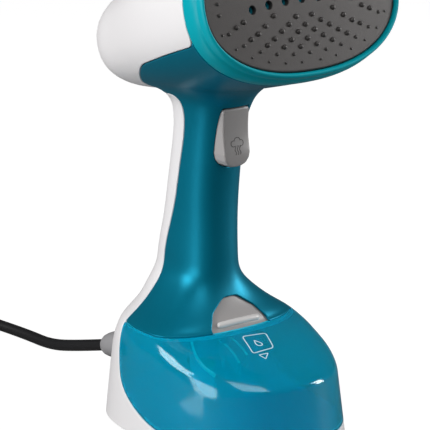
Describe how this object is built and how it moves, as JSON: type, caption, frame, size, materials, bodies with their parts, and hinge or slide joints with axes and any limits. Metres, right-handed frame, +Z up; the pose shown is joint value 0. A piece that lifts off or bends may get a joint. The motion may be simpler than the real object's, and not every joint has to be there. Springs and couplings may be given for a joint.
{
  "type": "handheld garment steamer",
  "caption": "Upright handheld garment steamer with a tilted oval steam plate, trigger handle and a slide-off water tank around its base.",
  "frame": {"origin": "on the floor under the middle of the base", "axes": "+Z up, the steam plate faces -Y, the cord leaves towards +Y"},
  "size_m": [0.185, 0.4055, 0.2952],
  "materials": {
    "white_shell": "satin",
    "dark_teal": "matte",
    "light_teal": "satin",
    "plate_metal": "satin",
    "grey_plastic": "satin",
    "clear_teal": "gloss",
    "aluminium": "rough",
    "steel": "satin",
    "silicone": "matte",
    "black_rubber": "matte",
    "rubber": "matte",
    "dark_plastic": "satin",
    "board_green": "satin",
    "copper": "satin"
  },
  "bodies": {
    "steamer": {"front_shell": "dark_teal", "rear_shell": "white_shell", "head_ring": "light_teal", "steam_plate": "plate_metal", "boiler_seal": "silicone", "boiler_body": "aluminium", "boiler_cover": "aluminium", "boiler_inlet": "aluminium", "heating_element": "steel", "element_terminals": "steel", "thermostat": "steel", "thermal_fuse": "steel", "boiler_screws": "steel", "trigger_pin": "steel", "trigger_spring": "steel", "switch_bracket": "dark_plastic", "switch_body": "dark_plastic", "latch_spring": "steel", "tank_dock": "dark_plastic", "dock_inlet": "dark_plastic", "inlet_seal": "silicone", "pump_body": "dark_plastic", "pump_coil": "copper", "pump_spring": "steel", "pressure_tube": "silicone", "suction_tube": "silicone", "circuit_board": "board_green", "board_parts": "dark_plastic", "terminal_block": "dark_plastic", "cord_bush": "rubber", "cord_clamp": "dark_plastic", "clamp_screws": "steel", "cord": "black_rubber", "cord_coil": "black_rubber", "plug": "black_rubber", "plug_blades": "steel", "shell_screws": "steel", "foot_plate": "white_shell", "rubber_feet": "rubber", "foot_screws": "steel"},
    "trigger_lever": {"trigger": "grey_plastic"},
    "switch_button": {"switch_plunger": "grey_plastic"},
    "tank_latch": {"latch": "grey_plastic"},
    "tank_unit": {"water_tank": "clear_teal", "valve_guide": "grey_plastic", "valve_spring": "steel"},
    "tank_valve": {"valve_poppet": "grey_plastic"},
    "pump_shuttle": {"pump_piston": "steel"}
  },
  "joints": [
    {"name": "trigger_press", "type": "hinge", "parent": "steamer", "child": "trigger_lever", "pos_m": [0, 0.003, 0.182], "axis": [1, 0, 0], "range_deg": [0, 7], "stiffness_Nm_per_rad": 0.9, "springref_deg": -6.88, "deforming": ["trigger_spring"]},
    {"name": "switch_press", "type": "slide", "parent": "steamer", "child": "switch_button", "axis": [0, 1, 0], "range_m": [0, 0.002]},
    {"name": "latch_lift", "type": "slide", "parent": "steamer", "child": "tank_latch", "axis": [0, 0.6428, 0.766], "range_m": [0, 0.004], "stiffness_N_per_m": 400, "springref_m": -0.003, "deforming": ["latch_spring"]},
    {"name": "tank_slide", "type": "slide", "parent": "steamer", "child": "tank_unit", "axis": [0, -1, 0], "range_m": [0, 0.09]},
    {"name": "valve_open", "type": "slide", "parent": "tank_unit", "child": "tank_valve", "axis": [0, -1, 0], "range_m": [0, 0.0015], "stiffness_N_per_m": 300, "deforming": ["valve_spring"]},
    {"name": "pump_stroke", "type": "slide", "parent": "steamer", "child": "pump_shuttle", "axis": [0, 0, 1], "range_m": [-0.0015, 0.0015], "stiffness_N_per_m": 800, "deforming": ["pump_spring"]}
  ],
  "couplings": [
    {"joint": "switch_press", "follows": "trigger_press", "m_per_rad": 0.0155}
  ]
}
